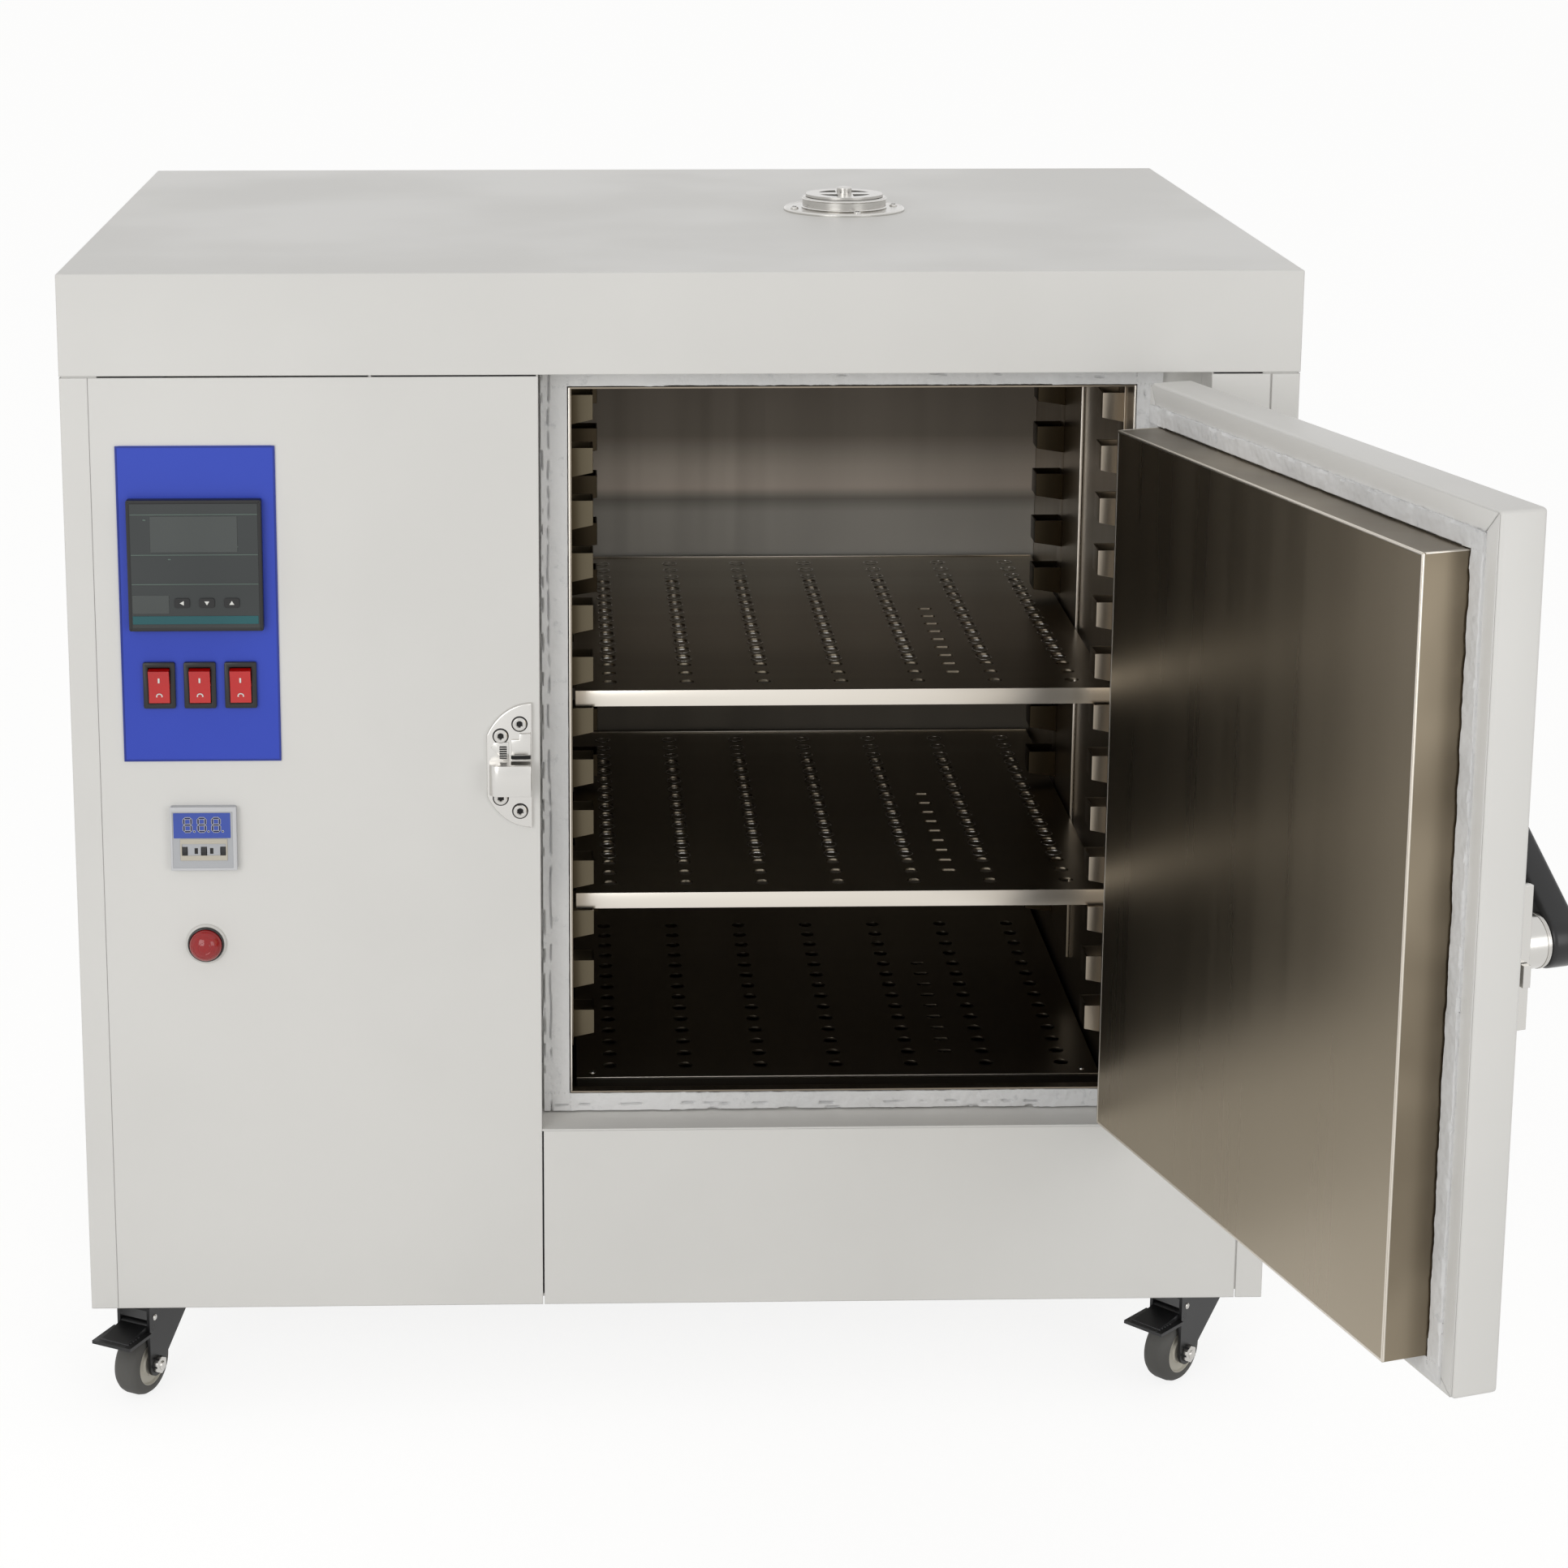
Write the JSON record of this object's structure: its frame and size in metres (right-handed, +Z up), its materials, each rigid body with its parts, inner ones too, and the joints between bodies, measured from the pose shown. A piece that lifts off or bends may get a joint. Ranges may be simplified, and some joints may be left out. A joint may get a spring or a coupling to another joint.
{
  "type": "high-temperature oven",
  "caption": "Floor-standing laboratory oven with a side control bay, plug door, racked stainless chamber, top vent and braked casters.",
  "frame": {"origin": "on the floor, under the centre of the cabinet's footprint", "axes": "+Z up; +X to the right seen from the front; +Y from the front into the depth, so the door opens towards -Y"},
  "size_m": [0.9759, 1.0862, 0.8763],
  "materials": {
    "cabinet_paint": "warm off-white powder coat, fine satin",
    "chamber_steel": "brushed stainless sheet, heat-tinted brown-grey",
    "bare_steel": "plain bright steel",
    "latch_chrome": "satin chrome on a zinc casting",
    "fibre": "white ceramic fibre, matt and fibrous",
    "control_blue": "blue satin overlay with a paler edge line",
    "instrument_black": "black moulded plastic",
    "rocker_red": "translucent red rocker, gloss",
    "timer_grey": "grey moulded plastic",
    "lamp_red": "deep red domed lens",
    "lamp_ring": "bright ring",
    "motor_grey": "grey motor paint",
    "caster_black": "black painted pressing",
    "tyre": "black rubber tyre on a pale hub",
    "inlet_black": "black gland"
  },
  "bodies": {
    "cabinet": {"base_frame": "cabinet_paint", "left_side_panel": "cabinet_paint", "right_side_panel": "cabinet_paint", "top_cover": "cabinet_paint", "back_panel": "cabinet_paint", "control_front_panel": "cabinet_paint", "lower_front_panel": "cabinet_paint", "door_frame": "cabinet_paint", "chamber_liner": "chamber_steel", "fibre_band": "fibre", "insulation": "fibre", "shelf_racks": "chamber_steel", "bottom_plate": "chamber_steel", "heaters": "bare_steel", "temperature_probe": "bare_steel", "fan_guard": "chamber_steel", "fan_motor": "motor_grey", "vent_flange": "bare_steel", "control_plate": "control_blue", "controller_body": "instrument_black", "switch_housings": "instrument_black", "timer_body": "timer_grey", "signal_lamp_body": "lamp_ring", "signal_lamp_lens": "lamp_red", "keeper_plate": "latch_chrome", "hinge_body_leaves": "bare_steel", "hinge_pins": "bare_steel", "caster_plates": "bare_steel", "power_inlet": "inlet_black"},
    "door": {"door_shell": "cabinet_paint", "door_plug": "chamber_steel", "door_gasket": "fibre", "door_insulation": "fibre", "hinge_door_leaves": "bare_steel", "latch_base": "latch_chrome"},
    "lever": {"handle_lever": "instrument_black"},
    "tongue": {"latch_tongue": "bare_steel"},
    "upper_shelf": {"upper_shelf": "chamber_steel"},
    "lower_shelf": {"lower_shelf": "chamber_steel"},
    "impeller": {"fan_impeller": "bare_steel"},
    "damper": {"vent_damper": "bare_steel"},
    "key_1": {"controller_key_1": "instrument_black"},
    "key_2": {"controller_key_2": "instrument_black"},
    "key_3": {"controller_key_3": "instrument_black"},
    "rocker_1": {"rocker_1": "rocker_red"},
    "rocker_2": {"rocker_2": "rocker_red"},
    "rocker_3": {"rocker_3": "rocker_red"},
    "timer_wheel_1": {"timer_wheel_1": "instrument_black"},
    "timer_wheel_2": {"timer_wheel_2": "instrument_black"},
    "timer_wheel_3": {"timer_wheel_3": "instrument_black"},
    "swivel_front_left": {"caster_fork_front_left": "caster_black"},
    "wheel_front_left": {"caster_wheel_front_left": "tyre"},
    "pedal_front_left": {"brake_pedal_front_left": "caster_black"},
    "swivel_front_right": {"caster_fork_front_right": "caster_black"},
    "wheel_front_right": {"caster_wheel_front_right": "tyre"},
    "pedal_front_right": {"brake_pedal_front_right": "caster_black"},
    "swivel_rear_left": {"caster_fork_rear_left": "caster_black"},
    "wheel_rear_left": {"caster_wheel_rear_left": "tyre"},
    "swivel_rear_right": {"caster_fork_rear_right": "caster_black"},
    "wheel_rear_right": {"caster_wheel_rear_right": "tyre"}
  },
  "joints": [
    {"name": "door_swing", "type": "hinge", "parent": "cabinet", "child": "door", "pos_m": [0.3532, -0.3106, 0.2196], "axis": [0, 0, 1], "range_deg": [-107.2, 52.8]},
    {"name": "lever_turn", "type": "hinge", "parent": "door", "child": "lever", "pos_m": [0.51095, -0.70049, 0.5005], "axis": [-0.9553, -0.2957, 0], "range_deg": [-49, 0]},
    {"name": "tongue_slide", "type": "slide", "parent": "door", "child": "tongue", "axis": [0.2957, -0.9553, 0], "range_m": [0, 0.02]},
    {"name": "upper_shelf_slide", "type": "slide", "parent": "cabinet", "child": "upper_shelf", "axis": [0, -1, 0], "range_m": [0, 0.1]},
    {"name": "lower_shelf_slide", "type": "slide", "parent": "cabinet", "child": "lower_shelf", "axis": [0, -1, 0], "range_m": [0, 0.1]},
    {"name": "impeller_spin", "type": "hinge", "parent": "cabinet", "child": "impeller", "pos_m": [-0.1246, -0.03, 0.501], "axis": [1, 0, 0], "continuous": true},
    {"name": "damper_turn", "type": "hinge", "parent": "cabinet", "child": "damper", "pos_m": [0.1431, 0.029, 0.869], "axis": [0, 0, 1], "range_deg": [0, 45]},
    {"name": "key_1_press", "type": "slide", "parent": "cabinet", "child": "key_1", "axis": [0, 1, 0], "range_m": [0, 0.001], "stiffness_N_per_m": 300},
    {"name": "key_2_press", "type": "slide", "parent": "cabinet", "child": "key_2", "axis": [0, 1, 0], "range_m": [0, 0.001], "stiffness_N_per_m": 300},
    {"name": "key_3_press", "type": "slide", "parent": "cabinet", "child": "key_3", "axis": [0, 1, 0], "range_m": [0, 0.001], "stiffness_N_per_m": 300},
    {"name": "rocker_1_tilt", "type": "hinge", "parent": "cabinet", "child": "rocker_1", "pos_m": [-0.3752, -0.3113, 0.55985], "axis": [1, 0, 0], "range_deg": [-16, 0]},
    {"name": "rocker_2_tilt", "type": "hinge", "parent": "cabinet", "child": "rocker_2", "pos_m": [-0.346, -0.3113, 0.55985], "axis": [1, 0, 0], "range_deg": [-16, 0]},
    {"name": "rocker_3_tilt", "type": "hinge", "parent": "cabinet", "child": "rocker_3", "pos_m": [-0.3168, -0.3113, 0.55985], "axis": [1, 0, 0], "range_deg": [-16, 0]},
    {"name": "timer_wheel_1_turn", "type": "hinge", "parent": "cabinet", "child": "timer_wheel_1", "pos_m": [-0.3602, -0.3087, 0.435], "axis": [1, 0, 0], "continuous": true},
    {"name": "timer_wheel_2_turn", "type": "hinge", "parent": "cabinet", "child": "timer_wheel_2", "pos_m": [-0.3462, -0.3087, 0.435], "axis": [1, 0, 0], "continuous": true},
    {"name": "timer_wheel_3_turn", "type": "hinge", "parent": "cabinet", "child": "timer_wheel_3", "pos_m": [-0.3322, -0.3087, 0.435], "axis": [1, 0, 0], "continuous": true},
    {"name": "swivel_front_left", "type": "hinge", "parent": "cabinet", "child": "swivel_front_left", "pos_m": [-0.395, -0.27, 0.0737], "axis": [0, 0, 1], "continuous": true},
    {"name": "roll_front_left", "type": "hinge", "parent": "swivel_front_left", "child": "wheel_front_left", "pos_m": [-0.40635, -0.29228, 0.025], "axis": [-0.891, 0.454, 0], "continuous": true},
    {"name": "pedal_front_left", "type": "hinge", "parent": "swivel_front_left", "child": "pedal_front_left", "pos_m": [-0.40862, -0.29673, 0.057], "axis": [-0.891, 0.454, 0], "range_deg": [-10, 0]},
    {"name": "swivel_front_right", "type": "hinge", "parent": "cabinet", "child": "swivel_front_right", "pos_m": [0.395, -0.27, 0.0737], "axis": [0, 0, 1], "continuous": true},
    {"name": "roll_front_right", "type": "hinge", "parent": "swivel_front_right", "child": "wheel_front_right", "pos_m": [0.37732, -0.28768, 0.025], "axis": [-0.7071, 0.7071, 0], "continuous": true},
    {"name": "pedal_front_right", "type": "hinge", "parent": "swivel_front_right", "child": "pedal_front_right", "pos_m": [0.37379, -0.29121, 0.057], "axis": [-0.7071, 0.7071, 0], "range_deg": [-10, 0]},
    {"name": "swivel_rear_left", "type": "hinge", "parent": "cabinet", "child": "swivel_rear_left", "pos_m": [-0.395, 0.27, 0.0737], "axis": [0, 0, 1], "continuous": true},
    {"name": "roll_rear_left", "type": "hinge", "parent": "swivel_rear_left", "child": "wheel_rear_left", "pos_m": [-0.40272, 0.29378, 0.025], "axis": [0.9511, 0.309, 0], "continuous": true},
    {"name": "swivel_rear_right", "type": "hinge", "parent": "cabinet", "child": "swivel_rear_right", "pos_m": [0.395, 0.27, 0.0737], "axis": [0, 0, 1], "continuous": true},
    {"name": "roll_rear_right", "type": "hinge", "parent": "swivel_rear_right", "child": "wheel_rear_right", "pos_m": [0.40674, 0.29207, 0.025], "axis": [0.8829, -0.4695, 0], "continuous": true}
  ],
  "couplings": [
    {"joint": "tongue_slide", "follows": "lever_turn", "m_per_rad": -0.023269}
  ]
}
